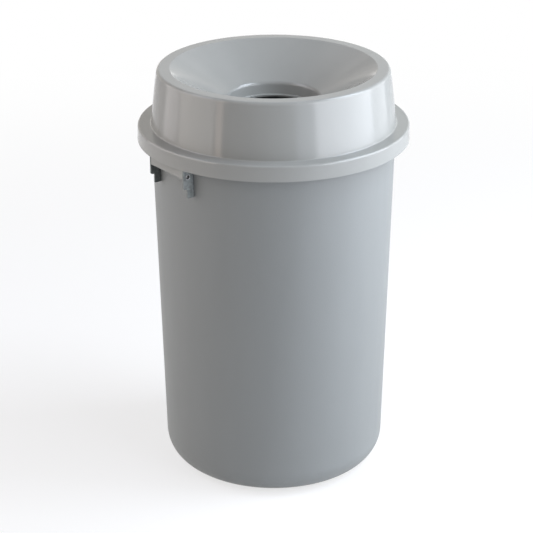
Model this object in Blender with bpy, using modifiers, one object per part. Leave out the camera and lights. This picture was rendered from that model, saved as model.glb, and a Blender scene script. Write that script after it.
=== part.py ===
# A round, tapered waste bin with a hinged funnel lid.
# Metres, +Z up. The origin is the middle of the base, on the floor.
# The hinge is at the back, at +Y, and the front is at -Y. Left and right are as seen from the front.

import math

import bmesh
import bpy
from mathutils import Matrix, Vector

# Gaps and cuts
SEAT_GAP = 0.0003               # between pieces that rest on each other or hold each other
RUNNING_GAP = 0.0003            # round the pins, on the radius
SWING_GAP = 0.0005              # between the ears and what turns between them
CUT_OVERRUN = 0.005             # how far a cutter runs past what it cuts
JOIN_DEPTH = 0.0012             # how far a rib or lug sinks into the wall that it is joined to

# Bin body
BODY_HEIGHT = 0.589             # floor to the top of the rolled rim
WALL_TOP_RADIUS = 0.1975        # outer radius at the rim
WALL_FOOT_RADIUS = 0.1835       # outer radius, carried down to the floor
WALL_THICKNESS = 0.003
BASE_THICKNESS = 0.0035
CORNER_WIDTH = 0.036            # the rounded base corner, measured inwards
CORNER_HEIGHT = 0.042           # and upwards
FOOT_RING_WIDTH = 0.018         # the flat ring that the bin stands on
FOOT_RECESS = 0.004             # how far the middle of the base is pushed up
RIM_OVERHANG = 0.008            # how far the rolled rim stands out from the wall
RIM_DEPTH = 0.010               # height of its turned-down edge
RIM_THICKNESS = 0.003
RIM_EDGE_RADIUS = 0.003

# Lid
LID_THICKNESS = 0.0025
SKIRT_CLEARANCE = 0.012         # inside its lower edge, round the body's rim
SKIRT_HEIGHT = 0.025
SKIRT_TAPER = 0.0010            # how much narrower it is at the top
SKIRT_EDGE_RADIUS = 0.003
FLANGE_WIDTH = 0.021            # flat step between the skirt and the collar
COLLAR_HEIGHT = 0.090
COLLAR_TAPER = 0.011            # how much narrower the collar is at the top
COLLAR_FILLET = 0.002           # between collar and flange
LIP_WIDTH = 0.021
LIP_OUTER_EDGE_RADIUS = 0.003
LIP_INNER_EDGE_RADIUS = 0.002
FUNNEL_DEPTH = 0.050            # lip down to the shoulder
SHOULDER_RADIUS = 0.0745        # where the funnel meets the throat
SHOULDER_ROUNDING = 0.005
THROAT_DEPTH = 0.0185
THROAT_END_RADIUS = 0.0700
LEDGE_WIDTH = 0.0055            # narrow ledge turned inwards at the throat's lower end
LEDGE_FILLET = 0.0010

# Hinge
PIN_STANDOFF = 0.0055           # pin axis outside the wall's top radius
PIN_DROP = 0.0356               # pin axis below the top of the body's rim
PIN_RADIUS = 0.0040
PIN_BORE_RADIUS = 0.0031
PIN_FLARE_RADIUS = 0.0047
PIN_FLARE_THICKNESS = 0.0008
EAR_SPACING = 0.0872            # between the ears' inner faces
EAR_THICKNESS = 0.0025
EAR_OUTER_REACH = 0.0077        # outer edge beyond the pin axis
EAR_LOWER_REACH = 0.0008        # outer edge of the narrow lower part beyond the pin axis
EAR_TOP_RISE = 0.0180           # top edge above the pin axis
EAR_STEP_DROP = 0.0203          # step below the pin axis
EAR_BOTTOM_DROP = 0.0355        # lower edge below the pin axis
EAR_CORNER_RADIUS = 0.0030
EAR_SMALL_CORNER_RADIUS = 0.0010
EAR_FLANGE_WIDTH = 0.0250       # flange on the wall, from the ear's outer face to its free end
EAR_FLANGE_DROP = 0.0074        # flange's lower edge below the pin axis
EAR_FLANGE_INSET = 0.0010       # flange's upper edge below the ear's
APRON_REACH = 0.0075            # outer face of the lid's apron beyond the pin axis
APRON_THICKNESS = 0.0025
APRON_DROP = 0.0034             # apron's lower edge below the pin axis
APRON_EDGE_RADIUS = 0.0010
LUG_WIDTH = 0.0080
LUG_INSET = 0.0004              # from the apron's side edge
LUG_RADIUS = 0.0060
LUG_RISE = 0.0140               # how far up the apron the lug reaches, above the pin axis

# Rivets and their washers
RIVET_SHANK_RADIUS = 0.0020
RIVET_HEAD_RADIUS = 0.0040
RIVET_HEAD_HEIGHT = 0.0018
RIVET_TAIL_RADIUS = 0.0034
RIVET_TAIL_HEIGHT = 0.0014
RIVET_INSET = 0.0062            # from the flange's upper and lower edges
RIVET_OFFSET = 0.0160           # from the ear's inner face, towards the other ear
WASHER_RADIUS = 0.0055
WASHER_THICKNESS = 0.0010

# Facets
TURN_STEPS = 64                 # round the bin
SMALL_TURN_STEPS = 20           # round pins, rivets and holes
CORNER_STEPS = 8                # down the base corner
EDGE_STEPS = 3                  # round a small edge
FLANGE_STEPS = 6
MERGE_DISTANCE = 0.00001

# Heights and places that follow from the sizes
rim_radius = WALL_TOP_RADIUS + RIM_OVERHANG
flange_under = BODY_HEIGHT + SEAT_GAP
flange_top = flange_under + LID_THICKNESS
skirt_bottom = flange_top - SKIRT_HEIGHT
lid_top = flange_top + COLLAR_HEIGHT
skirt_radius = rim_radius + SKIRT_CLEARANCE + LID_THICKNESS     # the widest place of the bin
collar_foot_radius = skirt_radius - SKIRT_TAPER - FLANGE_WIDTH
collar_top_radius = collar_foot_radius - COLLAR_TAPER
lip_inner_radius = collar_top_radius - LIP_WIDTH
shoulder_height = lid_top - FUNNEL_DEPTH
throat_end_height = shoulder_height - THROAT_DEPTH
pin_y = WALL_TOP_RADIUS + PIN_STANDOFF
pin_z = BODY_HEIGHT - PIN_DROP
ear_inner_x = EAR_SPACING / 2
ear_outer_x = ear_inner_x + EAR_THICKNESS
ear_top = pin_z + EAR_TOP_RISE
ear_bottom = pin_z - EAR_BOTTOM_DROP
ear_flange_top = ear_top - EAR_FLANGE_INSET
ear_flange_bottom = pin_z - EAR_FLANGE_DROP
ear_flange_end = ear_outer_x - EAR_FLANGE_WIDTH
apron_half_width = ear_inner_x - SWING_GAP
apron_outer_y = pin_y + APRON_REACH
apron_inner_y = apron_outer_y - APRON_THICKNESS
wall_slope = (WALL_TOP_RADIUS - WALL_FOOT_RADIUS) / BODY_HEIGHT
SIDES = {"left": -1, "right": 1}


def wall_radius(height):
    """Outer radius of the body's wall at a height."""
    return WALL_FOOT_RADIUS + wall_slope * height


def seat_y(x, height):
    """How far out, at this x and height, a piece lies that rests on the back of the wall."""
    return math.sqrt((wall_radius(height) + SEAT_GAP) ** 2 - x ** 2)


# Scene, materials and small helpers

def clear_scene():
    for old in list(bpy.data.objects):
        bpy.data.objects.remove(old, do_unlink=True)


def new_collection(name):
    collection = bpy.data.collections.new(name)
    bpy.context.scene.collection.children.link(collection)
    return collection


def new_material(name, color, roughness, metallic):
    material = bpy.data.materials.new(name)
    material.use_nodes = True
    shader = material.node_tree.nodes["Principled BSDF"]
    shader.inputs["Base Color"].default_value = (*color, 1)
    shader.inputs["Roughness"].default_value = roughness
    shader.inputs["Metallic"].default_value = metallic
    return material


def add_object(name, mesh, collection, material=None):
    item = bpy.data.objects.new(name, mesh)
    collection.objects.link(item)
    if material:
        mesh.materials.append(material)
    return item


def make_cutter(item):
    item.hide_render = True
    item.display_type = "WIRE"


def rounded(corners, steps, closed=False):
    """Outline through (a, b, radius) corners, each rounded by an arc of its radius."""
    points = []
    count = len(corners)
    for index, (a, b, radius) in enumerate(corners):
        corner = Vector((a, b))
        if radius == 0 or (not closed and index in (0, count - 1)):
            points.append(corner)
            continue
        before = (Vector(corners[index - 1][:2]) - corner).normalized()
        after = (Vector(corners[(index + 1) % count][:2]) - corner).normalized()
        half = before.angle(after) / 2
        middle = corner + (before + after).normalized() * (radius / math.sin(half))
        start = corner + before * (radius / math.tan(half)) - middle
        end = corner + after * (radius / math.tan(half)) - middle
        turn = start.angle_signed(end)
        for step in range(steps + 1):
            angle = -turn * step / steps
            points.append(middle + Matrix.Rotation(angle, 2) @ start)
    return [(point.x, point.y) for point in points]


def turned(name, outline, collection, material=None, closed=True, steps=TURN_STEPS):
    """A profile of (radius, height) points turned about Z. At +X it runs down its outer side."""
    mesh = bpy.data.meshes.new(name)
    verts = [(radius, 0, height) for radius, height in outline]
    edges = [(index, index + 1) for index in range(len(verts) - 1)]
    if closed:
        edges.append((len(verts) - 1, 0))
    mesh.from_pydata(verts, edges, [])
    item = add_object(name, mesh, collection, material)
    screw = item.modifiers.new("turn", "SCREW")
    screw.axis = "Z"
    screw.steps = screw.render_steps = steps
    screw.use_merge_vertices = True
    screw.merge_threshold = MERGE_DISTANCE
    screw.use_normal_calculate = False
    return item


def plate(name, outline, thickness, collection, matrix):
    """A flat outline given in its own plane, made into a welded solid and placed by a matrix."""
    curve = bpy.data.curves.new(name, "CURVE")
    curve.dimensions = "2D"
    curve.fill_mode = "BOTH"
    curve.extrude = thickness / 2
    spline = curve.splines.new("POLY")
    spline.points.add(len(outline) - 1)
    for point, (a, b) in zip(spline.points, outline):
        point.co = (a, b, 0, 1)
    spline.use_cyclic_u = True
    flat = bpy.data.objects.new(name, curve)
    collection.objects.link(flat)
    flat.matrix_world = matrix
    bpy.context.view_layer.update()
    seen = flat.evaluated_get(bpy.context.evaluated_depsgraph_get())
    mesh = bpy.data.meshes.new_from_object(seen)
    work = bmesh.new()
    work.from_mesh(mesh)
    bmesh.ops.remove_doubles(work, verts=work.verts, dist=MERGE_DISTANCE)
    work.to_mesh(mesh)
    work.free()
    bpy.data.objects.remove(flat, do_unlink=True)
    item = add_object(name, mesh, collection)
    item.matrix_world = matrix
    return item


def rod(name, radius, start, end, collection):
    """A plain round bar between two points, used as a cutter."""
    start, end = Vector(start), Vector(end)
    mesh = bpy.data.meshes.new(name)
    work = bmesh.new()
    bmesh.ops.create_cone(work, cap_ends=True, segments=SMALL_TURN_STEPS, radius1=radius, radius2=radius,
                          depth=(end - start).length)
    work.to_mesh(mesh)
    work.free()
    item = add_object(name, mesh, collection)
    item.location = (start + end) / 2
    item.rotation_euler = (end - start).to_track_quat("Z", "Y").to_euler()
    make_cutter(item)
    return item


def boolean(item, tool, operation):
    change = item.modifiers.new(operation.lower(), "BOOLEAN")
    change.operation = operation
    change.object = tool
    make_cutter(tool)


def smooth(item, degrees=35):
    """Shades the item's own mesh smooth, with edges over the angle kept sharp."""
    mesh = item.data
    mesh.shade_smooth()
    if mesh.polygons:
        mesh.set_sharp_from_angle(angle=math.radians(degrees))


# Planes that flat outlines are drawn in: the first value of an outline, then the second
ALONG_X = Matrix(((0, 0, 1, 0), (1, 0, 0, 0), (0, 1, 0, 0), (0, 0, 0, 1)))    # outline in (Y, Z), thick along X
ALONG_Y = Matrix(((1, 0, 0, 0), (0, 0, -1, 0), (0, 1, 0, 0), (0, 0, 0, 1)))   # outline in (X, Z), thick along Y


# Bin body

def body_outline():
    """The wall's section: over the rim, down the outside, across the base and up the inside."""
    top_inner = WALL_TOP_RADIUS - WALL_THICKNESS
    corner_radius = wall_radius(CORNER_HEIGHT)
    corner_middle = corner_radius - CORNER_WIDTH
    foot_inner = corner_middle - FOOT_RING_WIDTH
    hook_under = BODY_HEIGHT - RIM_THICKNESS
    hook_inner = rim_radius - RIM_THICKNESS
    rim = rounded([
        (top_inner, BODY_HEIGHT, 0),
        (rim_radius, BODY_HEIGHT, RIM_EDGE_RADIUS),
        (rim_radius, BODY_HEIGHT - RIM_DEPTH, 0),
        (hook_inner, BODY_HEIGHT - RIM_DEPTH, 0),
        (hook_inner, hook_under, 0),
        (wall_radius(hook_under), hook_under, 0),
    ], EDGE_STEPS)
    outside, inside = [], []
    for step in range(CORNER_STEPS + 1):
        angle = math.pi / 2 * step / CORNER_STEPS
        outside.append((corner_middle + CORNER_WIDTH * math.cos(angle),
                        CORNER_HEIGHT * (1 - math.sin(angle))))
        inside.append((corner_middle + (CORNER_WIDTH - WALL_THICKNESS) * math.cos(angle),
                       CORNER_HEIGHT - (CORNER_HEIGHT - BASE_THICKNESS) * math.sin(angle)))
    under = [(foot_inner, 0), (foot_inner - FOOT_RECESS, FOOT_RECESS), (0, FOOT_RECESS)]
    floor = [(0, FOOT_RECESS + BASE_THICKNESS), (foot_inner - FOOT_RECESS, FOOT_RECESS + BASE_THICKNESS),
             (foot_inner, BASE_THICKNESS)]
    return rim + outside + under + floor + inside[::-1]


def make_body(collection, material):
    body = turned("bin_body", body_outline(), collection, material)
    smooth(body)
    return body


# Lid

def lid_outline():
    """The face that shows, from the throat's ledge up over the lip and down to the skirt's edge."""
    return rounded([
        (THROAT_END_RADIUS - LEDGE_WIDTH, throat_end_height, 0),
        (THROAT_END_RADIUS, throat_end_height, LEDGE_FILLET),
        (SHOULDER_RADIUS, shoulder_height, SHOULDER_ROUNDING),
        (lip_inner_radius, lid_top, LIP_INNER_EDGE_RADIUS),
        (collar_top_radius, lid_top, LIP_OUTER_EDGE_RADIUS),
        (collar_foot_radius, flange_top, COLLAR_FILLET),
        (skirt_radius - SKIRT_TAPER, flange_top, SKIRT_EDGE_RADIUS),
        (skirt_radius, skirt_bottom, 0),
    ], EDGE_STEPS)


def lug_outline():
    """Side view of a hinge lug in (Y, Z): round about the pin and joined to the apron."""
    root = apron_inner_y + JOIN_DEPTH
    points = []
    for step in range(SMALL_TURN_STEPS // 2 + 1):
        angle = math.pi / 2 + math.pi * step / (SMALL_TURN_STEPS // 2)
        points.append((pin_y + LUG_RADIUS * math.cos(angle), pin_z + LUG_RADIUS * math.sin(angle)))
    points.append((root, pin_z - APRON_DROP + JOIN_DEPTH))
    points.append((root, pin_z + LUG_RISE))
    return points


def make_lid(collection, cutters, material):
    lid = turned("lid", lid_outline(), collection, material, closed=False)
    shell = lid.modifiers.new("wall", "SOLIDIFY")
    shell.thickness = LID_THICKNESS
    shell.offset = -1
    shell.use_even_offset = True
    apron_low = pin_z - APRON_DROP
    apron_high = flange_under + JOIN_DEPTH
    apron = plate("apron", rounded([
        (apron_inner_y, apron_low, APRON_EDGE_RADIUS),
        (apron_outer_y, apron_low, APRON_EDGE_RADIUS),
        (apron_outer_y, apron_high, 0),
        (apron_inner_y, apron_high, 0),
    ], EDGE_STEPS, closed=True), 2 * apron_half_width, cutters, ALONG_X)
    boolean(lid, apron, "UNION")
    for side, sign in SIDES.items():
        middle = sign * (apron_half_width - LUG_INSET - LUG_WIDTH / 2)
        lug = plate(f"lug_{side}", lug_outline(), LUG_WIDTH, cutters, Matrix.Translation((middle, 0, 0)) @ ALONG_X)
        boolean(lid, lug, "UNION")
    reach = apron_half_width + CUT_OVERRUN
    hole = rod("lug_hole", PIN_RADIUS + RUNNING_GAP, (-reach, pin_y, pin_z), (reach, pin_y, pin_z), cutters)
    boolean(lid, hole, "DIFFERENCE")
    smooth(lid)
    axis = bpy.data.objects.new("lid_hinge_axis", None)
    collection.objects.link(axis)
    axis.location = (0, pin_y, pin_z)
    lid.parent = axis
    lid.location = (0, -pin_y, -pin_z)
    return lid


# Hinge ears

def ear_outline():
    """Side view of an ear in (Y, Z): wide round the pin, a step to a narrow lower part, its back on the wall."""
    outer = pin_y + EAR_OUTER_REACH
    lower = pin_y + EAR_LOWER_REACH
    step = pin_z - EAR_STEP_DROP
    return rounded([
        (seat_y(ear_inner_x, ear_bottom), ear_bottom, 0),
        (lower, ear_bottom, EAR_SMALL_CORNER_RADIUS),
        (lower, step, EAR_SMALL_CORNER_RADIUS),
        (outer, step, EAR_CORNER_RADIUS),
        (outer, ear_top, EAR_CORNER_RADIUS),
        (seat_y(ear_inner_x, ear_top), ear_top, 0),
    ], EDGE_STEPS, closed=True)


def make_ear_flange(name, sign, cutters):
    """The flange that lies on the wall, turned towards the other ear, with its free corners rounded."""
    root = ear_inner_x + EAR_THICKNESS / 2
    across = [root + (ear_flange_end - root) * step / FLANGE_STEPS for step in range(FLANGE_STEPS + 1)]
    levels = (ear_flange_bottom, ear_flange_top)
    places = [(sign * x, seat_y(x, height), height) for height in levels for x in across[::sign]]
    mesh = bpy.data.meshes.new(name)
    work = bmesh.new()
    bmesh.ops.create_grid(work, x_segments=FLANGE_STEPS, y_segments=1)
    for vert, place in zip(work.verts, places):
        vert.co = place
    work.to_mesh(mesh)
    work.free()
    flange = add_object(name, mesh, cutters)
    sheet = flange.modifiers.new("sheet", "SOLIDIFY")
    sheet.thickness = EAR_THICKNESS
    sheet.offset = 1
    sheet.use_even_offset = True
    outline = rounded([
        (ear_flange_end + SEAT_GAP, ear_flange_bottom + SEAT_GAP, EAR_CORNER_RADIUS),
        (ear_outer_x, ear_flange_bottom + SEAT_GAP, 0),
        (ear_outer_x, ear_flange_top - SEAT_GAP, 0),
        (ear_flange_end + SEAT_GAP, ear_flange_top - SEAT_GAP, EAR_CORNER_RADIUS),
    ], EDGE_STEPS, closed=True)
    outline = [(sign * x, height) for x, height in outline][::sign]
    trim = plate(f"{name}_outline", outline, 2 * skirt_radius, cutters,
                 Matrix.Translation((0, skirt_radius, 0)) @ ALONG_Y)
    boolean(flange, trim, "INTERSECT")
    return flange


def rivet_places(sign):
    """Where an ear's rivets go: a matrix each, with its origin on the wall and Z along the wall's normal."""
    places = {}
    lean = math.atan(wall_slope)
    for level, height in (("upper", ear_flange_top - RIVET_INSET), ("lower", ear_flange_bottom + RIVET_INSET)):
        radius = wall_radius(height)
        angle = sign * math.asin((ear_inner_x - RIVET_OFFSET) / radius)
        outwards = Vector((math.sin(angle) * math.cos(lean), math.cos(angle) * math.cos(lean), -math.sin(lean)))
        turn = outwards.to_track_quat("Z", "Y").to_matrix().to_4x4()
        spot = Vector((radius * math.sin(angle), radius * math.cos(angle), height))
        places[level] = Matrix.Translation(spot) @ turn
    return places


def make_ear(side, sign, collection, cutters, material):
    name = f"hinge_ear_{side}"
    middle = sign * (ear_inner_x + EAR_THICKNESS / 2)
    ear = plate(name, ear_outline(), EAR_THICKNESS, collection, Matrix.Translation((middle, 0, 0)) @ ALONG_X)
    ear.data.materials.append(material)
    boolean(ear, make_ear_flange(f"{name}_flange", sign, cutters), "UNION")
    inside = sign * (ear_inner_x - CUT_OVERRUN)
    outside = sign * (ear_outer_x + CUT_OVERRUN)
    boolean(ear, rod(f"{name}_pin_hole", PIN_RADIUS + RUNNING_GAP, (inside, pin_y, pin_z), (outside, pin_y, pin_z),
                     cutters), "DIFFERENCE")
    return ear


# Pins, rivets and washers

def make_pin(side, sign, collection, material):
    """A tubular pin, flared over the ear outside and over the lug inside."""
    inner_end = apron_half_width - LUG_INSET - LUG_WIDTH - SEAT_GAP - PIN_FLARE_THICKNESS
    outer_end = ear_outer_x + SEAT_GAP + PIN_FLARE_THICKNESS
    length = outer_end - inner_end
    edge = PIN_FLARE_THICKNESS / 3
    outline = rounded([
        (PIN_BORE_RADIUS, length, edge),
        (PIN_FLARE_RADIUS, length, edge),
        (PIN_FLARE_RADIUS, length - PIN_FLARE_THICKNESS, 0),
        (PIN_RADIUS, length - PIN_FLARE_THICKNESS, 0),
        (PIN_RADIUS, PIN_FLARE_THICKNESS, 0),
        (PIN_FLARE_RADIUS, PIN_FLARE_THICKNESS, 0),
        (PIN_FLARE_RADIUS, 0, edge),
        (PIN_BORE_RADIUS, 0, edge),
    ], 1, closed=True)
    pin = turned(f"hinge_pin_{side}", outline, collection, material, steps=SMALL_TURN_STEPS)
    pin.location = (sign * inner_end, pin_y, pin_z)
    pin.rotation_euler = (0, sign * math.pi / 2, 0)
    smooth(pin)
    return pin


def rivet_outline():
    """Half section of a rivet: domed head outside the ear's flange, shank, and formed tail inside."""
    seat = SEAT_GAP + EAR_THICKNESS + SEAT_GAP
    tail = -washer_seat() - WASHER_THICKNESS - SEAT_GAP
    head = []
    for step in range(EDGE_STEPS + 1):
        angle = math.pi / 2 * (1 - step / EDGE_STEPS)
        head.append((RIVET_HEAD_RADIUS * math.cos(angle), seat + RIVET_HEAD_HEIGHT * math.sin(angle)))
    head[0] = (0, seat + RIVET_HEAD_HEIGHT)
    return head + [
        (RIVET_SHANK_RADIUS, seat),
        (RIVET_SHANK_RADIUS, tail),
        (RIVET_TAIL_RADIUS, tail),
        (RIVET_SHANK_RADIUS, tail - RIVET_TAIL_HEIGHT),
        (0, tail - RIVET_TAIL_HEIGHT),
    ]


def washer_seat():
    """How far inside the wall's outer face a washer's near face lies, clear of the wall's facets."""
    inner = WALL_TOP_RADIUS - WALL_THICKNESS
    facet_sag = inner * (1 - math.cos(math.pi / TURN_STEPS))
    curve_sag = inner - math.sqrt(inner ** 2 - WASHER_RADIUS ** 2)
    return WALL_THICKNESS + facet_sag + curve_sag + SEAT_GAP


def make_riveting(side, sign, ear, body, collection, cutters, material):
    hole_radius = RIVET_SHANK_RADIUS + SEAT_GAP
    far = washer_seat()
    for level, place in rivet_places(sign).items():
        rivet = turned(f"ear_rivet_{side}_{level}", rivet_outline(), collection, material, closed=False,
                       steps=SMALL_TURN_STEPS)
        rivet.matrix_world = place
        smooth(rivet)
        washer = turned(f"rivet_washer_{side}_{level}", [
            (hole_radius, -far),
            (WASHER_RADIUS, -far),
            (WASHER_RADIUS, -far - WASHER_THICKNESS),
            (hole_radius, -far - WASHER_THICKNESS),
        ], collection, material, steps=SMALL_TURN_STEPS)
        washer.matrix_world = place
        start = place @ Vector((0, 0, -far - CUT_OVERRUN))
        end = place @ Vector((0, 0, EAR_THICKNESS + CUT_OVERRUN))
        hole = rod(f"rivet_hole_{side}_{level}", hole_radius, start, end, cutters)
        boolean(ear, hole, "DIFFERENCE")
        boolean(body, hole, "DIFFERENCE")


def main():
    clear_scene()
    parts = new_collection("waste_bin")
    cutters = new_collection("waste_bin_cutters")
    body_plastic = new_material("body_plastic", (0.26, 0.27, 0.275), 0.42, 0)
    lid_plastic = new_material("lid_plastic", (0.31, 0.32, 0.32), 0.36, 0)
    zinc = new_material("zinc_steel", (0.42, 0.43, 0.44), 0.45, 1)
    bright_steel = new_material("bright_steel", (0.52, 0.52, 0.53), 0.35, 1)
    body = make_body(parts, body_plastic)
    make_lid(parts, cutters, lid_plastic)
    for side, sign in SIDES.items():
        ear = make_ear(side, sign, parts, cutters, zinc)
        make_riveting(side, sign, ear, body, parts, cutters, bright_steel)
        make_pin(side, sign, parts, bright_steel)


main()
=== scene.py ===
import math

import bpy
from mathutils import Matrix, Vector


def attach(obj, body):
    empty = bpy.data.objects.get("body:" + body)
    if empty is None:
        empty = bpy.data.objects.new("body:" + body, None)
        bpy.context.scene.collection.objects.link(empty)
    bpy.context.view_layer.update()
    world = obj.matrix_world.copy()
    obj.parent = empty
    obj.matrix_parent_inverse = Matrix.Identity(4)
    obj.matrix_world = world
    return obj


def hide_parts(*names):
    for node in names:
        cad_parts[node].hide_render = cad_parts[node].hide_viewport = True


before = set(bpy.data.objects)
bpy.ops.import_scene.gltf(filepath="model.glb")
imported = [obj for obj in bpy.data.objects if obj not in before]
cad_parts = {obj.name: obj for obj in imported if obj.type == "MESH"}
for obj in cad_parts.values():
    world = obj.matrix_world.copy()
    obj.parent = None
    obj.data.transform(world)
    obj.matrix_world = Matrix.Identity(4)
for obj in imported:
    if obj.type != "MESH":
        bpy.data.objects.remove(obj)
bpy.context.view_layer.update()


# small tools that every piece uses

modelling = {
    "seedSize": 0.01,          # plane that is merged into a path's first vertex
    "same": 1e-6,              # vertices this close are the same one
    "seamWeld": 0.00001,       # closes the seam of a turned piece
    "segments": 6,             # of a rounded corner
    "support": 0.0006,         # short straight kept on each side of a rounded corner
    "softSegments": 2,
    "barSteps": 48,
    "smooth": 32,              # degrees, sharper edges stay crisp
}


def letGo():
    # nothing stays selected or in edit mode before the next primitive
    if bpy.context.object and bpy.context.object.mode != "OBJECT":
        bpy.ops.object.mode_set(mode="OBJECT")
    bpy.ops.object.select_all(action="DESELECT")


def pickOnly(piece):
    letGo()
    piece.select_set(True)
    bpy.context.view_layer.objects.active = piece


def pickVertices(piece, wanted):
    # called in edit mode, leaves edit mode on with only these vertices picked
    bpy.ops.mesh.select_mode(type="VERT")
    bpy.ops.mesh.select_all(action="DESELECT")
    bpy.ops.object.mode_set(mode="OBJECT")
    for vertex in piece.data.vertices:
        vertex.select = wanted(vertex.co)
    bpy.ops.object.mode_set(mode="EDIT")


def cornerCut(before, corner, after, radius):
    # how far along each side an arc of this radius starts
    sides = (Vector(before) - Vector(corner)).angle(Vector(after) - Vector(corner))
    return radius / math.tan(sides / 2)


def drawPath(name, rows, closed=False, segments=modelling["segments"], support=modelling["support"]):
    # a line of vertices in the XZ plane through (x, z, corner radius) rows, with its corners rounded
    count = len(rows)
    stops, arcs = [], []
    for index, (x, z, radius) in enumerate(rows):
        here = Vector((x, 0, z))
        if radius == 0 or (not closed and index in (0, count - 1)):
            stops.append(here)
            continue
        before, after = (Vector((rows[i % count][0], 0, rows[i % count][1]))
                         for i in (index - 1, index + 1))
        cut = cornerCut(before, here, after, radius)
        stops.append(here + (before - here).normalized() * (cut + support))
        stops.append(here)
        stops.append(here + (after - here).normalized() * (cut + support))
        arcs.append((here, cut))
    letGo()
    bpy.ops.mesh.primitive_plane_add(size=modelling["seedSize"], location=(0, 0, 0))
    piece = bpy.context.object
    piece.name = piece.data.name = name
    bpy.ops.object.mode_set(mode="EDIT")
    bpy.ops.mesh.select_mode(type="VERT")
    bpy.ops.mesh.select_all(action="SELECT")
    bpy.ops.mesh.merge(type="CENTER")
    bpy.ops.transform.translate(value=stops[0])
    for last, stop in zip(stops, stops[1:]):
        bpy.ops.mesh.extrude_vertices_move(TRANSFORM_OT_translate={"value": stop - last})
    if closed:
        ends = (stops[0], stops[-1])
        pickVertices(piece, lambda co: min((co - end).length for end in ends) < modelling["same"])
        bpy.ops.mesh.edge_face_add()
    for corner, cut in arcs:
        pickVertices(piece, lambda co: (co - corner).length < modelling["same"])
        bpy.ops.mesh.bevel(offset=cut, offset_type="OFFSET", segments=segments, affect="VERTICES")
    return piece


def spinRound(piece, steps):
    # turns the drawn path about Z and closes the seam
    bpy.ops.mesh.select_all(action="SELECT")
    bpy.ops.mesh.spin(steps=steps, angle=math.tau, center=(0, 0, 0), axis=(0, 0, 1))
    bpy.ops.mesh.select_all(action="SELECT")
    bpy.ops.mesh.remove_doubles(threshold=modelling["seamWeld"])
    bpy.ops.mesh.normals_make_consistent(inside=False)
    bpy.ops.object.mode_set(mode="OBJECT")
    return piece


def applyModifiers(piece):
    pickOnly(piece)
    for modifier in list(piece.modifiers):
        bpy.ops.object.modifier_apply(modifier=modifier.name)


def smoothShade(piece, degrees=modelling["smooth"]):
    pickOnly(piece)
    bpy.ops.object.shade_smooth_by_angle(angle=math.radians(degrees))


def applyPlace(piece, place=None):
    pickOnly(piece)
    if place is not None:
        piece.matrix_world = place
    bpy.ops.object.transform_apply(location=True, rotation=True, scale=True)


def softenEdges(piece, width, degrees, segments=modelling["softSegments"]):
    bevel = piece.modifiers.new("softEdges", "BEVEL")
    bevel.width = width
    bevel.segments = segments
    bevel.limit_method = "ANGLE"
    bevel.angle_limit = math.radians(degrees)
    bevel.use_clamp_overlap = True
    applyModifiers(piece)


def keepFacesFlat(piece):
    # flat faces keep their own normal beside rounded edges
    even = piece.modifiers.new("flatFaces", "WEIGHTED_NORMAL")
    even.keep_sharp = True
    even.weight = 100          # large faces count most
    applyModifiers(piece)


def cutWith(piece, tool, operation="DIFFERENCE"):
    change = piece.modifiers.new("cut", "BOOLEAN")
    change.operation = operation
    change.object = tool
    applyModifiers(piece)
    bpy.data.objects.remove(tool, do_unlink=True)


def roundBar(radius, start, end):
    along = Vector(end) - Vector(start)
    letGo()
    bpy.ops.mesh.primitive_cylinder_add(vertices=modelling["barSteps"], radius=radius, depth=along.length,
                                        location=(Vector(start) + Vector(end)) / 2,
                                        rotation=along.to_track_quat("Z", "Y").to_euler())
    return bpy.context.object


def finishPiece(piece, body, material, slot, *nodes):
    if not piece.data.polygons:
        raise RuntimeError(piece.name + " has no faces")
    piece.data.materials.clear()
    piece.data.materials.append(material)
    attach(piece, body)
    if nodes:
        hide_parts(*nodes)


# materials

def newMaterial(name):
    material = bpy.data.materials.new(name)
    material.use_nodes = True
    return material, material.node_tree.nodes, material.node_tree.links


def addNode(nodes, kind, **values):
    node = nodes.new(kind)
    for key, value in values.items():
        if hasattr(node, key):
            setattr(node, key, value)
        else:
            node.inputs[key.replace("_", " ")].default_value = value
    return node


def addNoise(nodes, links, place, settings):
    # settings are patches per metre, detail and roughness
    size, detail, rough = settings
    noise = addNode(nodes, "ShaderNodeTexNoise", Scale=size, Detail=detail, Roughness=rough)
    links.new(place, noise.inputs["Vector"])
    return noise.outputs["Fac"]


def addRange(nodes, links, value, **limits):
    spread = addNode(nodes, "ShaderNodeMapRange", **limits)
    links.new(value, spread.inputs["Value"])
    return spread.outputs["Result"]


def addMath(nodes, links, operation, *values):
    node = addNode(nodes, "ShaderNodeMath", operation=operation)
    for value, socket in zip(values, node.inputs):
        if isinstance(value, bpy.types.NodeSocket):
            links.new(value, socket)
        else:
            socket.default_value = value
    return node.outputs["Value"]


def addRamp(nodes, links, value, *stops):
    # two stops, each a position and a colour
    ramp = addNode(nodes, "ShaderNodeValToRGB")
    for element, (position, colour) in zip(ramp.color_ramp.elements, stops):
        element.position = position
        element.color = colour
    links.new(value, ramp.inputs["Fac"])
    return ramp.outputs["Color"]


def addMix(nodes, links, factor, first, second):
    # sockets 6 and 7 are the two colours of a Mix node that is set to colours, and output 2 is its result
    mix = addNode(nodes, "ShaderNodeMix", data_type="RGBA")
    links.new(factor, mix.inputs["Factor"])
    for value, socket in ((first, mix.inputs[6]), (second, mix.inputs[7])):
        if isinstance(value, bpy.types.NodeSocket):
            links.new(value, socket)
        else:
            socket.default_value = value
    return mix.outputs[2]


def addBump(nodes, links, height, distance, strength=1.0):
    bump = addNode(nodes, "ShaderNodeBump", Strength=strength, Distance=distance)
    links.new(height, bump.inputs["Height"])
    return bump


def scaleColour(colour, share=1.0):
    return (*(c * share for c in colour), 1)


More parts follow.
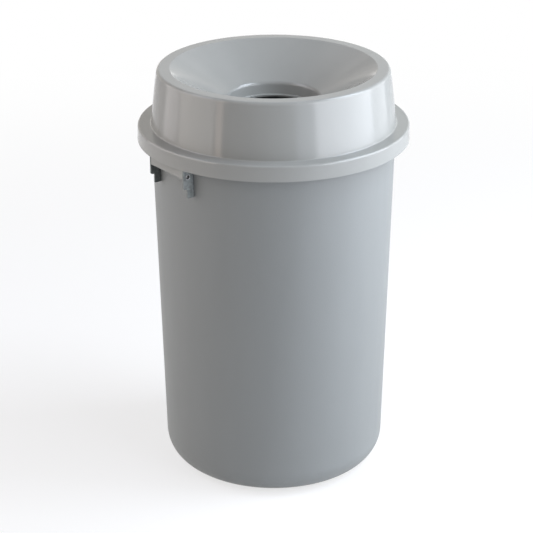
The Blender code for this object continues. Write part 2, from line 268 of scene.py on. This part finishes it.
plastic = {
    "bodyColour": (0.212, 0.223, 0.221),
    "lidColour": (0.291, 0.296, 0.283),
    "refraction": 1.49,
    "bodyRoughness": 0.50,
    "lidRoughness": 0.13,
    "glossDown": 0.03,         # how far the gloss wanders below and above its middle
    "glossUp": 0.04,
    "glossNoise": (26.0, 4.0, 0.6),
    "noiseFrom": 0.3,          # noise between these two values is used
    "noiseTo": 0.7,
    "mottle": 0.03,            # share of light and dark in the pigment
    "mottleNoise": (9.0, 3.0, 0.5),
    "flowStretch": 0.22,       # the melt flows up the wall, so the patches are long
    "peelNoise": (420.0, 2.0, 0.5),  # orange peel left by the mould
    "bodyPeel": 0.00010,
    "lidPeel": 0.00004,
    "waveNoise": (15.0, 1.0, 0.4),   # slow waves of a thin moulded wall
    "bodyWave": 0.0006,
    "lidWave": 0.00022,
    "scratchNoise": (230.0, 1.0, 0.5),
    "scratchTurn": (0.5, 0.35, 0.2),
    "scratchThin": 0.03,       # drawn out to long lines by this share
    "scratchFrom": 0.66,
    "scratchTo": 0.72,
    "scratchRough": 0.02,
    "scuffTop": 0.060,         # scuffs fade out at this height
    "scuffNoise": (70.0, 6.0, 0.7),
    "scuffFrom": 0.50,
    "scuffTo": 0.68,
    "scuffRough": 0.14,
    "scuffPale": 0.20,         # share of the pale tone in a scuff
    "scuffLight": 1.5,         # the pale tone, as a share of the plastic's colour
}


def makePlastic(name, colour, roughness, peel, wave):
    p = plastic
    material, nodes, links = newMaterial(name)
    shader = nodes["Principled BSDF"]
    shader.inputs["IOR"].default_value = p["refraction"]
    place = addNode(nodes, "ShaderNodeTexCoord").outputs["Object"]
    flow = addNode(nodes, "ShaderNodeMapping")
    flow.inputs["Scale"].default_value = (1, 1, p["flowStretch"])
    links.new(place, flow.inputs["Vector"])
    along = flow.outputs["Vector"]

    # pigment: pale and dark patches drawn out along the flow
    patches = addNoise(nodes, links, along, p["mottleNoise"])
    tone = addRamp(nodes, links, patches, (p["noiseFrom"], scaleColour(colour, 1 - p["mottle"])),
                   (p["noiseTo"], scaleColour(colour, 1 + p["mottle"])))

    # scuffs low down, where feet and mops reach
    height = addNode(nodes, "ShaderNodeSeparateXYZ")
    links.new(place, height.inputs["Vector"])
    low = addRange(nodes, links, height.outputs["Z"], interpolation_type="SMOOTHSTEP",
                   From_Max=p["scuffTop"], To_Min=1.0, To_Max=0.0)
    rubbed = addNoise(nodes, links, place, p["scuffNoise"])
    worn = addRange(nodes, links, rubbed, From_Min=p["scuffFrom"], From_Max=p["scuffTo"])
    scuff = addMath(nodes, links, "MULTIPLY", low, worn)
    paleShare = addMath(nodes, links, "MULTIPLY", scuff, p["scuffPale"])
    pale = addMix(nodes, links, paleShare, tone, scaleColour(colour, p["scuffLight"]))
    links.new(pale, shader.inputs["Base Color"])

    # fine handling scratches, long and thin, that only dull the gloss
    slant = addNode(nodes, "ShaderNodeMapping")
    slant.inputs["Rotation"].default_value = p["scratchTurn"]
    slant.inputs["Scale"].default_value = (1, 1, p["scratchThin"])
    links.new(place, slant.inputs["Vector"])
    lines = addNoise(nodes, links, slant.outputs["Vector"], p["scratchNoise"])
    scratch = addRange(nodes, links, lines, From_Min=p["scratchFrom"], From_Max=p["scratchTo"],
                       To_Max=p["scratchRough"])
    cloud = addNoise(nodes, links, along, p["glossNoise"])
    gloss = addRange(nodes, links, cloud, From_Min=p["noiseFrom"], From_Max=p["noiseTo"],
                     To_Min=roughness - p["glossDown"], To_Max=roughness + p["glossUp"])
    dull = addMath(nodes, links, "MULTIPLY_ADD", scuff, p["scuffRough"], gloss)
    rough = addMath(nodes, links, "ADD", dull, scratch)
    links.new(rough, shader.inputs["Roughness"])

    # relief: orange peel over slow waves
    peelBump = addBump(nodes, links, addNoise(nodes, links, place, p["peelNoise"]), peel)
    waveBump = addBump(nodes, links, addNoise(nodes, links, along, p["waveNoise"]), wave)
    links.new(peelBump.outputs["Normal"], waveBump.inputs["Normal"])
    links.new(waveBump.outputs["Normal"], shader.inputs["Normal"])
    return material


galvanised = {
    "colour": (0.138, 0.151, 0.152),
    "lightColour": (0.196, 0.211, 0.211),
    "roughness": (0.40, 0.62),
    "spangleSize": 260.0,      # crystals per metre
    "pitNoise": (900.0, 3.0, 0.6),
    "pitStrength": 0.25,
    "pitDeep": 0.00005,
}


def makeGalvanised(name):
    g = galvanised
    material, nodes, links = newMaterial(name)
    shader = nodes["Principled BSDF"]
    shader.inputs["Metallic"].default_value = 1.0
    place = addNode(nodes, "ShaderNodeTexCoord").outputs["Object"]
    crystals = addNode(nodes, "ShaderNodeTexVoronoi", Scale=g["spangleSize"], Randomness=1.0)
    links.new(place, crystals.inputs["Vector"])
    grey = addNode(nodes, "ShaderNodeSeparateColor")
    links.new(crystals.outputs["Color"], grey.inputs["Color"])
    tone = addMix(nodes, links, grey.outputs["Red"], scaleColour(g["colour"]),
                  scaleColour(g["lightColour"]))
    links.new(tone, shader.inputs["Base Color"])
    smooth, dull = g["roughness"]
    sheen = addRange(nodes, links, grey.outputs["Green"], To_Min=smooth, To_Max=dull)
    links.new(sheen, shader.inputs["Roughness"])
    pits = addNoise(nodes, links, place, g["pitNoise"])
    relief = addBump(nodes, links, pits, g["pitDeep"], g["pitStrength"])
    links.new(relief.outputs["Normal"], shader.inputs["Normal"])
    return material


brightZinc = {
    "colour": (0.30, 0.305, 0.31),
    "dark": 0.8,               # the darker tone, as a share of the colour
    "darkUpTo": 0.3,           # noise values of the two tones
    "lightFrom": 0.75,
    "roughness": (0.30, 0.48),
    "cloudNoise": (320.0, 4.0, 0.6),
    "grainStrength": 0.2,
    "grainDeep": 0.00003,
}


def makeZincPlate(name):
    z = brightZinc
    material, nodes, links = newMaterial(name)
    shader = nodes["Principled BSDF"]
    shader.inputs["Metallic"].default_value = 1.0
    place = addNode(nodes, "ShaderNodeTexCoord").outputs["Object"]
    cloud = addNoise(nodes, links, place, z["cloudNoise"])
    tone = addRamp(nodes, links, cloud, (z["darkUpTo"], scaleColour(z["colour"], z["dark"])),
                   (z["lightFrom"], scaleColour(z["colour"])))
    links.new(tone, shader.inputs["Base Color"])
    smooth, dull = z["roughness"]
    sheen = addRange(nodes, links, cloud, To_Min=smooth, To_Max=dull)
    links.new(sheen, shader.inputs["Roughness"])
    grain = addBump(nodes, links, cloud, z["grainDeep"], z["grainStrength"])
    links.new(grain.outputs["Normal"], shader.inputs["Normal"])
    return material


bodyPlastic = makePlastic("bodyPlastic", plastic["bodyColour"], plastic["bodyRoughness"],
                          plastic["bodyPeel"], plastic["bodyWave"])
lidPlastic = makePlastic("lidPlastic", plastic["lidColour"], plastic["lidRoughness"],
                         plastic["lidPeel"], plastic["lidWave"])
galvanisedSteel = makeGalvanised("galvanisedSteel")
zincPlate = makeZincPlate("zincPlate")
print("materials ready")


# the bucket

bucket = {
    "height": 0.589,
    "wallTop": 0.1975,         # outer radius at the rim
    "wallFoot": 0.1835,        # outer radius, carried down to the floor
    "wall": 0.003,
    "base": 0.0035,
    "cornerWide": 0.036,
    "cornerHigh": 0.042,
    "footRing": 0.018,
    "footRound": 0.002,
    "recess": 0.004,
    "gate": 0.0035,            # stub left in the middle by the mould's gate, wider at its foot
    "gateFoot": 0.0049,
    "gateHigh": 0.0008,
    "gateRound": 0.0003,
    "gateBlend": 0.001,
    "rimOut": 0.008,
    "rimDeep": 0.010,
    "rimRound": 0.003,
    "rimEdge": 0.0009,
    "rimInRound": 0.001,
    "mouthRound": 0.0012,
    "levels": (0.86, 0.72, 0.58, 0.44, 0.30, 0.16),  # shares of the height that get a ring of vertices
    "cornerSteps": 18,
    "segments": 5,             # of each rounded corner
    "steps": 192,              # round the axis
    "smooth": 30,
}


def wallAt(height):
    return bucket["wallFoot"] + (bucket["wallTop"] - bucket["wallFoot"]) * height / bucket["height"]


def cornerRows():
    # the rounded base corner, outside going down and inside going up
    b = bucket
    middle = wallAt(b["cornerHigh"]) - b["cornerWide"]
    outside, inside = [], []
    for step in range(b["cornerSteps"] + 1):
        angle = math.pi / 2 * step / b["cornerSteps"]
        outside.append((middle + b["cornerWide"] * math.cos(angle),
                        b["cornerHigh"] * (1 - math.sin(angle)), 0))
        inside.append((middle + (b["cornerWide"] - b["wall"]) * math.cos(angle),
                       b["cornerHigh"] - (b["cornerHigh"] - b["base"]) * math.sin(angle), 0))
    return middle, outside, inside[::-1]


def makeBucket():
    # one closed outline, from the mouth over the rim, down the outside, under the base and up the inside
    b = bucket
    top, rim, wall = b["height"], b["wallTop"] + b["rimOut"], b["wall"]
    middle, outside, inside = cornerRows()
    foot = middle - b["footRing"]
    recessEdge = foot - b["recess"]
    gateTop, floorTop = b["recess"] - b["gateHigh"], b["recess"] + b["base"]
    levels = [top * share for share in b["levels"]]
    rows = [(b["wallTop"] - wall, top, b["mouthRound"]), (rim, top, b["rimRound"]),
            (rim, top - b["rimDeep"], b["rimEdge"]), (rim - wall, top - b["rimDeep"], b["rimEdge"]),
            (rim - wall, top - wall, b["rimInRound"]), (wallAt(top - wall), top - wall, b["rimInRound"])]
    rows += [(wallAt(level), level, 0) for level in levels]
    rows += outside
    rows += [(foot, 0, b["footRound"]), (recessEdge, b["recess"], b["footRound"]),
             (b["gateFoot"], b["recess"], b["gateBlend"]), (b["gate"], gateTop, b["gateRound"]),
             (0, gateTop, 0)]
    rows += [(0, floorTop, 0), (recessEdge, floorTop, b["footRound"]), (foot, b["base"], b["footRound"])]
    rows += inside
    rows += [(wallAt(level) - wall, level, 0) for level in levels[::-1]]
    piece = spinRound(drawPath("binBody", rows, closed=True, segments=b["segments"]), b["steps"])
    smoothShade(piece, b["smooth"])
    finishPiece(piece, "bin", bodyPlastic, "body_plastic", "bin_body")


makeBucket()
print("bucket made")


# the lid

lid = {
    "wall": 0.0025,
    "under": 0.5893,           # underside of the flange, on the rim
    "skirtRadius": 0.220,
    "skirtHigh": 0.025,
    "skirtTaper": 0.001,
    "flange": 0.021,
    "collarHigh": 0.090,
    "collarTaper": 0.011,
    "lip": 0.021,
    "funnelDeep": 0.050,
    "shoulderRadius": 0.0745,
    "throatDeep": 0.0185,
    "throatRadius": 0.070,
    "ledge": 0.0055,
    "ledgeRound": 0.001,
    "shoulderRound": 0.0075,
    "lipInRound": 0.0020,
    "lipOutRound": 0.0055,
    "collarRound": 0.002,      # between collar and flange
    "flangeRound": 0.003,
    "edge": 0.0011,            # rounding of the wall's free edges
    "edgeSegments": 4,
    "edgeAngle": 60,           # degrees, only the free edges are sharper
    "weld": 0.00007,           # joins vertices where the wall folds at tight corners
    "steps": 224,              # round the axis
    "smooth": 30,
}


def makeLid():
    # the face that shows, from the throat's ledge over the lip to the skirt's edge, then thickened
    p = lid
    flangeTop = p["under"] + p["wall"]
    top = flangeTop + p["collarHigh"]
    flangeOut = p["skirtRadius"] - p["skirtTaper"]
    foot = flangeOut - p["flange"]
    lipOut = foot - p["collarTaper"]
    shoulder = top - p["funnelDeep"]
    throatEnd = shoulder - p["throatDeep"]
    rows = [
        (p["throatRadius"] - p["ledge"], throatEnd, 0),
        (p["throatRadius"], throatEnd, p["ledgeRound"]),
        (p["shoulderRadius"], shoulder, p["shoulderRound"]),
        (lipOut - p["lip"], top, p["lipInRound"]),
        (lipOut, top, p["lipOutRound"]),
        (foot, flangeTop, p["collarRound"]),
        (flangeOut, flangeTop, p["flangeRound"]),
        (p["skirtRadius"], flangeTop - p["skirtHigh"], 0),
    ]
    piece = spinRound(drawPath("binLid", rows), p["steps"])
    shell = piece.modifiers.new("wall", "SOLIDIFY")
    shell.thickness = p["wall"]
    shell.offset = -1
    shell.use_even_offset = True
    applyModifiers(piece)
    softenEdges(piece, p["edge"], p["edgeAngle"], p["edgeSegments"])
    bpy.ops.object.mode_set(mode="EDIT")
    bpy.ops.mesh.select_all(action="SELECT")
    bpy.ops.mesh.remove_doubles(threshold=p["weld"])
    bpy.ops.object.mode_set(mode="OBJECT")
    smoothShade(piece, p["smooth"])
    finishPiece(piece, "lid", lidPlastic, "lid_plastic", "lid")


makeLid()
print("lid made")


# the hinge: ears, pins, rivets, washers and the lid's apron

hinge = {
    "pinY": 0.203,
    "pinZ": 0.5534,
    "pinRadius": 0.004,
    "gap": 0.0003,             # round the pins and shanks and under the ears
    "swingGap": 0.0005,        # between apron and ears
    "earInside": 0.0436,       # the ears' inner faces, from the middle
    "sheet": 0.0025,
    "outlineWeld": 0.000005,   # closes corners that a rounding uses up
    "cornerSegments": 6,
    "soft": 0.00035,           # rounding of every edge of ears and apron
    "softAngle": 50,
    "smooth": 28,
    "smallSegments": 4,        # of the roundings on pins and rivets
}


def makePlate(name, rows, thick, middle=0.0):
    # a flat outline of (y, z, corner radius) rows, given its thickness along X
    piece = drawPath(name, rows, closed=True, segments=hinge["cornerSegments"], support=0.0)
    bpy.ops.mesh.select_all(action="SELECT")
    bpy.ops.mesh.remove_doubles(threshold=hinge["outlineWeld"])
    bpy.ops.mesh.select_all(action="SELECT")
    bpy.ops.mesh.edge_face_add()
    bpy.ops.mesh.extrude_region_move(TRANSFORM_OT_translate={"value": (0, thick, 0)})
    bpy.ops.mesh.select_all(action="SELECT")
    bpy.ops.mesh.normals_make_consistent(inside=False)
    bpy.ops.object.mode_set(mode="OBJECT")
    applyPlace(piece, Matrix.Translation((middle + thick / 2, 0, 0)) @ Matrix.Rotation(math.pi / 2, 4, "Z"))
    return piece


def finishPlate(piece):
    softenEdges(piece, hinge["soft"], hinge["softAngle"])
    smoothShade(piece, hinge["smooth"])
    keepFacesFlat(piece)


ear = {
    "reach": 0.0077,           # outer edge beyond the pin
    "lowReach": 0.0008,        # the same below the step
    "rise": 0.0180,
    "step": 0.0203,
    "drop": 0.0355,
    "corner": 0.003,
    "smallCorner": 0.001,
    "holeEnds": (-2, 3),       # of the pin hole's cutter, in sheets from the inner face
    "flangeWide": 0.025,
    "flangeDrop": 0.0074,
    "flangeInset": 0.001,
    "flangeSteps": 384,        # of the whole cone that the flange is a slice of
    "endNear": 0.0006,         # the edges to round lie this near the flange's end,
    "endLevel": 0.0008,        # their ends differ less than this in height
    "endThrough": 0.001,       # and more than this through the sheet
}


def seatY(x, z):
    # how far back an ear starts, on the wall
    return math.sqrt((wallAt(z) + hinge["gap"]) ** 2 - x * x)


def flangeEnds():
    # lower and upper edge of the flanges
    return hinge["pinZ"] - ear["flangeDrop"], hinge["pinZ"] + ear["rise"] - ear["flangeInset"]


def makeFlange(sign):
    # a slice of a cone that fits the wall, cut to the flange's width and thickened
    h = hinge
    low, high = flangeEnds()
    letGo()
    bpy.ops.mesh.primitive_cone_add(vertices=ear["flangeSteps"], radius1=wallAt(low) + h["gap"],
                                    radius2=wallAt(high) + h["gap"], depth=high - low,
                                    end_fill_type="NOTHING", location=(0, 0, (low + high) / 2))
    piece = bpy.context.object
    applyPlace(piece)
    root, end = h["earInside"] + h["sheet"] / 2, h["earInside"] + h["sheet"] - ear["flangeWide"]
    bpy.ops.object.mode_set(mode="EDIT")
    for place, normal in (((sign * root, 0, 0), (sign, 0, 0)), ((sign * end, 0, 0), (-sign, 0, 0)),
                          ((0, 0, 0), (0, -1, 0))):
        bpy.ops.mesh.select_all(action="SELECT")
        bpy.ops.mesh.bisect(plane_co=place, plane_no=normal, clear_outer=True)
    bpy.ops.object.mode_set(mode="OBJECT")
    shell = piece.modifiers.new("sheet", "SOLIDIFY")
    shell.thickness = h["sheet"]
    shell.offset = 1
    applyModifiers(piece)
    bpy.ops.object.mode_set(mode="EDIT")
    bpy.ops.mesh.select_mode(type="EDGE")
    bpy.ops.mesh.select_all(action="DESELECT")
    bpy.ops.object.mode_set(mode="OBJECT")
    for edge in piece.data.edges:
        a, b = (piece.data.vertices[v].co for v in edge.vertices)
        edge.select = (all(abs(abs(v.x) - end) < ear["endNear"] for v in (a, b))
                       and abs(a.z - b.z) < ear["endLevel"] and abs(a.y - b.y) > ear["endThrough"])
    bpy.ops.object.mode_set(mode="EDIT")
    bpy.ops.mesh.bevel(offset=ear["corner"], segments=h["cornerSegments"], affect="EDGES")
    bpy.ops.object.mode_set(mode="OBJECT")
    return piece


def makeEar(side, sign):
    h, e = hinge, ear
    y, z = h["pinY"], h["pinZ"]
    bottom, step, top = z - e["drop"], z - e["step"], z + e["rise"]
    nearEdge, farEdge = y + e["lowReach"], y + e["reach"]
    rows = [(seatY(h["earInside"], bottom), bottom, 0), (nearEdge, bottom, e["smallCorner"]),
            (nearEdge, step, e["smallCorner"]), (farEdge, step, e["corner"]),
            (farEdge, top, e["corner"]), (seatY(h["earInside"], top), top, 0)]
    piece = makePlate("hingeEar" + side, rows, h["sheet"], sign * (h["earInside"] + h["sheet"] / 2))
    cutWith(piece, makeFlange(sign), "UNION")
    near, far = (sign * (h["earInside"] + sheets * h["sheet"]) for sheets in e["holeEnds"])
    cutWith(piece, roundBar(h["pinRadius"] + h["gap"], (near, y, z), (far, y, z)))
    finishPlate(piece)
    finishPiece(piece, "bin", galvanisedSteel, "zinc_steel", "hinge_ear_" + side.lower())


apron = {
    "out": 0.0075,             # outer face beyond the pin
    "thick": 0.0025,
    "drop": 0.0034,
    "corner": 0.001,
    "sink": 0.0012,            # apron into the lid, lug into the apron
    "lugWide": 0.008,
    "lugInset": 0.0004,
    "lugRadius": 0.006,
    "lugRise": 0.014,
    "lugSteps": 24,
    "cutShare": 1.1,           # the pin holes' cutter, as a share of the apron's half width
}


def makeApron():
    # the flat plate under the skirt, with a lug at each end for the pins
    h, p = hinge, apron
    y, z = h["pinY"], h["pinZ"]
    outer, inner = y + p["out"], y + p["out"] - p["thick"]
    half = h["earInside"] - h["swingGap"]
    low, high = z - p["drop"], lid["under"] + p["sink"]
    rows = [(inner, low, p["corner"]), (outer, low, p["corner"]), (outer, high, 0), (inner, high, 0)]
    piece = makePlate("lidApron", rows, 2 * half)
    root = inner + p["sink"]
    arc = [math.pi / 2 + math.pi * step / p["lugSteps"] for step in range(p["lugSteps"] + 1)]
    rows = [(y + p["lugRadius"] * math.cos(a), z + p["lugRadius"] * math.sin(a), 0) for a in arc]
    rows += [(root, low + p["sink"], 0), (root, z + p["lugRise"], 0)]
    for sign in (-1, 1):
        middle = sign * (half - p["lugInset"] - p["lugWide"] / 2)
        cutWith(piece, makePlate("lug", rows, p["lugWide"], middle), "UNION")
    cutHalf = half * p["cutShare"]
    cutWith(piece, roundBar(h["pinRadius"] + h["gap"], (-cutHalf, y, z), (cutHalf, y, z)))
    finishPlate(piece)
    finishPiece(piece, "lid", lidPlastic, "lid_plastic")


pin = {
    "bore": 0.0031,            # radius of the blind bore in each end
    "boreDeep": 0.005,
    "tipShare": 1.2,           # depth of the bore's tip, as a share of boreDeep
    "shoulderShare": 0.8,      # depth where the bore narrows
    "narrowShare": 0.7,        # radius before the tip, as a share of bore
    "tipRound": 0.001,
    "boreEdge": 0.0003,
    "flareRadius": 0.0047,
    "flareThick": 0.0008,
    "flareEdgeShare": 1 / 3,   # rounding, as a share of flareThick
    "steps": 48,
}


def makePin(side, sign):
    # from the flare beside the lug to the flare outside the ear
    h, p = hinge, pin
    inner = (h["earInside"] - h["swingGap"] - apron["lugInset"] - apron["lugWide"] - h["gap"]
             - p["flareThick"])
    outer = h["earInside"] + h["sheet"] + h["gap"] + p["flareThick"]
    length, radius, thick, deep = outer - inner, h["pinRadius"], p["flareThick"], p["boreDeep"]
    edge, tip, shoulder = thick * p["flareEdgeShare"], deep * p["tipShare"], deep * p["shoulderShare"]
    narrow = p["bore"] * p["narrowShare"]
    rows = [(0, length - tip, 0), (narrow, length - deep, p["tipRound"]),
            (p["bore"], length - shoulder, p["boreEdge"]), (p["bore"], length, edge),
            (p["flareRadius"], length, edge), (p["flareRadius"], length - thick, 0),
            (radius, length - thick, 0), (radius, thick, 0), (p["flareRadius"], thick, 0),
            (p["flareRadius"], 0, edge), (p["bore"], 0, edge), (p["bore"], shoulder, p["boreEdge"]),
            (narrow, deep, p["tipRound"]), (0, tip, 0)]
    path = drawPath("hingePin" + side, rows, segments=h["smallSegments"], support=0.0)
    piece = spinRound(path, p["steps"])
    applyPlace(piece, Matrix.Translation((sign * inner, h["pinY"], h["pinZ"]))
               @ Matrix.Rotation(sign * math.pi / 2, 4, "Y"))
    smoothShade(piece)
    finishPiece(piece, "bin", zincPlate, "bright_steel", "hinge_pin_" + side.lower())


rivet = {
    "offset": 0.016,           # from the ear's inner face toward the middle
    "inset": 0.0062,           # from the flange's upper or lower edge
    "shank": 0.002,
    "head": 0.004,
    "headHigh": 0.0018,
    "domeShare": 0.62,         # corner of the dome, as a share of head
    "domeRound": 0.0022,
    "sideShare": 0.25,         # foot of the dome, as a share of headHigh
    "headRound": 0.0004,
    "tail": 0.0034,
    "tailHigh": 0.0014,
    "tailSideShare": 0.6,      # corner of the tail, as a share of tailHigh
    "tailTipShare": 0.8,       # its flat end, as a share of shank
    "tailEdge": 0.0002,
    "tailRound": 0.0006,
    "tailTipRound": 0.0005,
    "steps": 40,
}
washer = {
    "radius": 0.0055,
    "thick": 0.001,
    "seat": 0.0036,            # near face, inside the wall's outer face
    "corner": 0.0002,
    "boreCorner": 0.0001,
    "segments": 2,
    "steps": 48,
}


def rivetHeights():
    low, high = flangeEnds()
    return {"Upper": high - rivet["inset"], "Lower": low + rivet["inset"]}


def rivetPlace(sign, height):
    # on the wall's outer face, with Z along its normal
    radius = wallAt(height)
    lean = math.atan((bucket["wallTop"] - bucket["wallFoot"]) / bucket["height"])
    angle = sign * math.asin((hinge["earInside"] - rivet["offset"]) / radius)
    out = Vector((math.sin(angle) * math.cos(lean), math.cos(angle) * math.cos(lean), -math.sin(lean)))
    spot = Vector((radius * math.sin(angle), radius * math.cos(angle), height))
    return Matrix.Translation(spot) @ out.to_track_quat("Z", "Y").to_matrix().to_4x4()


def makeRivet(side, level, place):
    # a domed head on the flange and an upset tail behind the washer
    h, r = hinge, rivet
    seat = h["gap"] + h["sheet"]
    tail = -washer["seat"] - washer["thick"] - h["gap"]
    headTop, headSide = seat + r["headHigh"], seat + r["headHigh"] * r["sideShare"]
    tailTop, tailSide = tail - r["tailHigh"], tail - r["tailHigh"] * r["tailSideShare"]
    rows = [(0, headTop, 0), (r["head"] * r["domeShare"], headTop, r["domeRound"]),
            (r["head"], headSide, r["headRound"]), (r["head"], seat, 0), (r["shank"], seat, 0),
            (r["shank"], tail, 0), (r["tail"], tail, r["tailEdge"]), (r["tail"], tailSide, r["tailRound"]),
            (r["shank"] * r["tailTipShare"], tailTop, r["tailTipRound"]), (0, tailTop, 0)]
    path = drawPath("earRivet" + side + level, rows, segments=h["smallSegments"], support=0.0)
    piece = spinRound(path, r["steps"])
    applyPlace(piece, place)
    smoothShade(piece)
    finishPiece(piece, "bin", zincPlate, "bright_steel", f"ear_rivet_{side}_{level}".lower())


def makeWasher(side, level, place):
    w = washer
    near, far = -w["seat"], -w["seat"] - w["thick"]
    bore = rivet["shank"] + hinge["gap"]
    rows = [(bore, near, w["boreCorner"]), (w["radius"], near, w["corner"]),
            (w["radius"], far, w["corner"]), (bore, far, w["boreCorner"])]
    path = drawPath("rivetWasher" + side + level, rows, closed=True, segments=w["segments"], support=0.0)
    piece = spinRound(path, w["steps"])
    applyPlace(piece, place)
    smoothShade(piece)
    finishPiece(piece, "bin", zincPlate, "bright_steel", f"rivet_washer_{side}_{level}".lower())


for side, sign in (("Left", -1), ("Right", 1)):
    makeEar(side, sign)
    makePin(side, sign)
    for level, height in rivetHeights().items():
        makeRivet(side, level, rivetPlace(sign, height))
        makeWasher(side, level, rivetPlace(sign, height))
makeApron()
print("hinge made")


# the camera

camera = {
    "place": (-2.17099, 1.67189, 1.51651),
    "turn": (66.658, 0.1745, -127.420),
    "lens": 120.576,
    "sensor": 36,
    "seesTo": 60,
}


def makeCamera():
    letGo()
    bpy.ops.object.camera_add(location=camera["place"], rotation=[math.radians(a) for a in camera["turn"]])
    seen = bpy.context.object
    seen.name = "camera"
    seen.data.lens = camera["lens"]
    seen.data.sensor_width = camera["sensor"]
    seen.data.clip_end = camera["seesTo"]
    bpy.context.scene.camera = seen


# lamps, a white room and the floor

rig = {
    "towardCamera": 142.4,     # degrees from +X, the way the camera is seen from the bin
    "aimHeight": 0.5,
}
# turn round from the camera (to its right positive), distance, height of the middle,
# width, height, watts, colour
lamps = {
    "rightFade": (28.5, 2.2, 1.0, 0.66, 1.9, 3.8, (0.90, 0.98, 1.14)),
    "rightSoftbox": (70.5, 2.2, 1.0, 3.0, 1.9, 85.0, (0.95, 0.985, 1.065)),
    "rightBack": (116, 2.2, 0.95, 1.1, 1.8, 9.0, (0.97, 0.99, 1.04)),
    "leftStrip": (-49.5, 2.2, 0.95, 0.26, 1.8, 3.0, (1.2, 0.97, 0.83)),
    "leftSoftbox": (-75, 2.2, 1.15, 1.8, 2.2, 22.8, (1.05, 0.985, 0.94)),
    "leftSide": (-108, 2.2, 0.95, 0.95, 1.8, 7.2, (1.03, 0.97, 0.98)),
    "backSoftbox": (180, 2.2, 0.42, 1.9, 0.8, 4.0, (1.0, 1.0, 1.0)),
    "topRight": (90, 1.6, 2.2, 1.2, 1.2, 38.0, (0.89, 0.99, 1.12)),
    "topLeft": (-90, 1.6, 2.2, 1.2, 1.2, 10.0, (0.94, 0.95, 1.11)),
    "topBack": (180, 1.6, 2.2, 1.6, 1.2, 2.5, (1.03, 0.98, 0.99)),
}


def makeLamps():
    for name, (turn, distance, height, wide, high, watts, colour) in lamps.items():
        angle = math.radians(rig["towardCamera"] + turn)
        spot = Vector((distance * math.cos(angle), distance * math.sin(angle), height))
        letGo()
        aim = (Vector((0, 0, rig["aimHeight"])) - spot).to_track_quat("-Z", "Y")
        bpy.ops.object.light_add(type="AREA", location=spot, rotation=aim.to_euler())
        lamp = bpy.context.object
        lamp.name = name
        lamp.data.shape = "RECTANGLE"
        lamp.data.size = wide
        lamp.data.size_y = high
        lamp.data.energy = watts
        lamp.data.color = colour


room = {
    "white": (1, 1, 1, 1),
    "fill": 0.04,              # light that reaches matt surfaces
    "gloss": 0.95,             # brightness that glossy ones mirror
    "glossColour": (1.04, 1.01, 0.95),
}


def addBackground(nodes, strength, colour):
    return addNode(nodes, "ShaderNodeBackground", Strength=strength, Color=colour).outputs["Background"]


def chooseShader(nodes, links, ray, otherwise, wanted):
    # the wanted shader for this kind of ray, the other one for the rest
    mix = addNode(nodes, "ShaderNodeMixShader")
    for value, socket in zip((ray, otherwise, wanted), mix.inputs):
        links.new(value, socket)
    return mix.outputs["Shader"]


def makeWorld():
    world = bpy.data.worlds.new("whiteRoom")
    bpy.context.scene.world = world
    world.use_nodes = True
    nodes, links = world.node_tree.nodes, world.node_tree.links
    fill = nodes["Background"]
    fill.inputs["Strength"].default_value = room["fill"]
    fill.inputs["Color"].default_value = room["white"]
    ray = addNode(nodes, "ShaderNodeLightPath")
    white = addBackground(nodes, 1.0, room["white"])
    gloss = addBackground(nodes, room["gloss"], scaleColour(room["glossColour"]))
    lit = chooseShader(nodes, links, ray.outputs["Is Glossy Ray"], fill.outputs["Background"], gloss)
    shown = chooseShader(nodes, links, ray.outputs["Is Camera Ray"], lit, white)
    links.new(shown, nodes["World Output"].inputs["Surface"])


ground = {
    "size": 24.0,
    "drop": 0.0002,
    "roughness": 0.8,
    "shownColour": (0.9, 0.9, 0.9),
    "bounceColour": (0.65, 0.65, 0.65),
    "shadowNear": 0.5,
    "shadowFar": 2.4,
    "glow": 0.66,              # share of plain white that the camera sees in the floor near the bin
    # painted pool of light: glossy rays see the floor glow, brighter near the bin than far off
    "gloss": (0.85, 0.42),     # the same for glossy rays, near the bin and far off
    "glossNear": 0.9,
    "glossFar": 3.2,
}


def makeFloor():
    # the camera sees plain white far off and a soft shadow near the bin; glossy rays see the floor glow, a
    # painted pool of light that is brightest near the bin
    letGo()
    g = ground
    bpy.ops.mesh.primitive_plane_add(size=g["size"], location=(0, 0, -g["drop"]))
    floor = bpy.context.object
    floor.name = floor.data.name = "paleFloor"
    applyPlace(floor)
    material, nodes, links = newMaterial("paleFloor")
    shader = nodes["Principled BSDF"]
    shader.inputs["Roughness"].default_value = g["roughness"]
    ray = addNode(nodes, "ShaderNodeLightPath")
    seesCamera, seesGloss = ray.outputs["Is Camera Ray"], ray.outputs["Is Glossy Ray"]
    tint = addMix(nodes, links, seesCamera, scaleColour(g["bounceColour"]), scaleColour(g["shownColour"]))
    links.new(tint, shader.inputs["Base Color"])
    place = addNode(nodes, "ShaderNodeTexCoord")
    away = addNode(nodes, "ShaderNodeVectorMath", operation="LENGTH")
    links.new(place.outputs["Object"], away.inputs[0])
    spread = addRange(nodes, links, away.outputs["Value"], interpolation_type="SMOOTHSTEP",
                      From_Min=g["shadowNear"], From_Max=g["shadowFar"], To_Min=g["glow"])
    nearGloss, farGloss = g["gloss"]
    # painted pool of light for reflections: the glow that glossy rays see fades from near the bin to far
    # off
    pool = addRange(nodes, links, away.outputs["Value"], interpolation_type="SMOOTHSTEP",
                    From_Min=g["glossNear"], From_Max=g["glossFar"], To_Min=nearGloss, To_Max=farGloss)
    seen = addMath(nodes, links, "MULTIPLY", seesCamera, spread)
    glowShare = addMath(nodes, links, "MULTIPLY_ADD", seesGloss, pool, seen)
    glow = addNode(nodes, "ShaderNodeEmission", Strength=1.0).outputs["Emission"]
    both = chooseShader(nodes, links, glowShare, shader.outputs["BSDF"], glow)
    links.new(both, nodes["Material Output"].inputs["Surface"])
    floor.data.materials.append(material)


makeCamera()
makeLamps()
makeWorld()
makeFloor()
bpy.context.scene.view_settings.view_transform = "Standard"
print("studio ready")
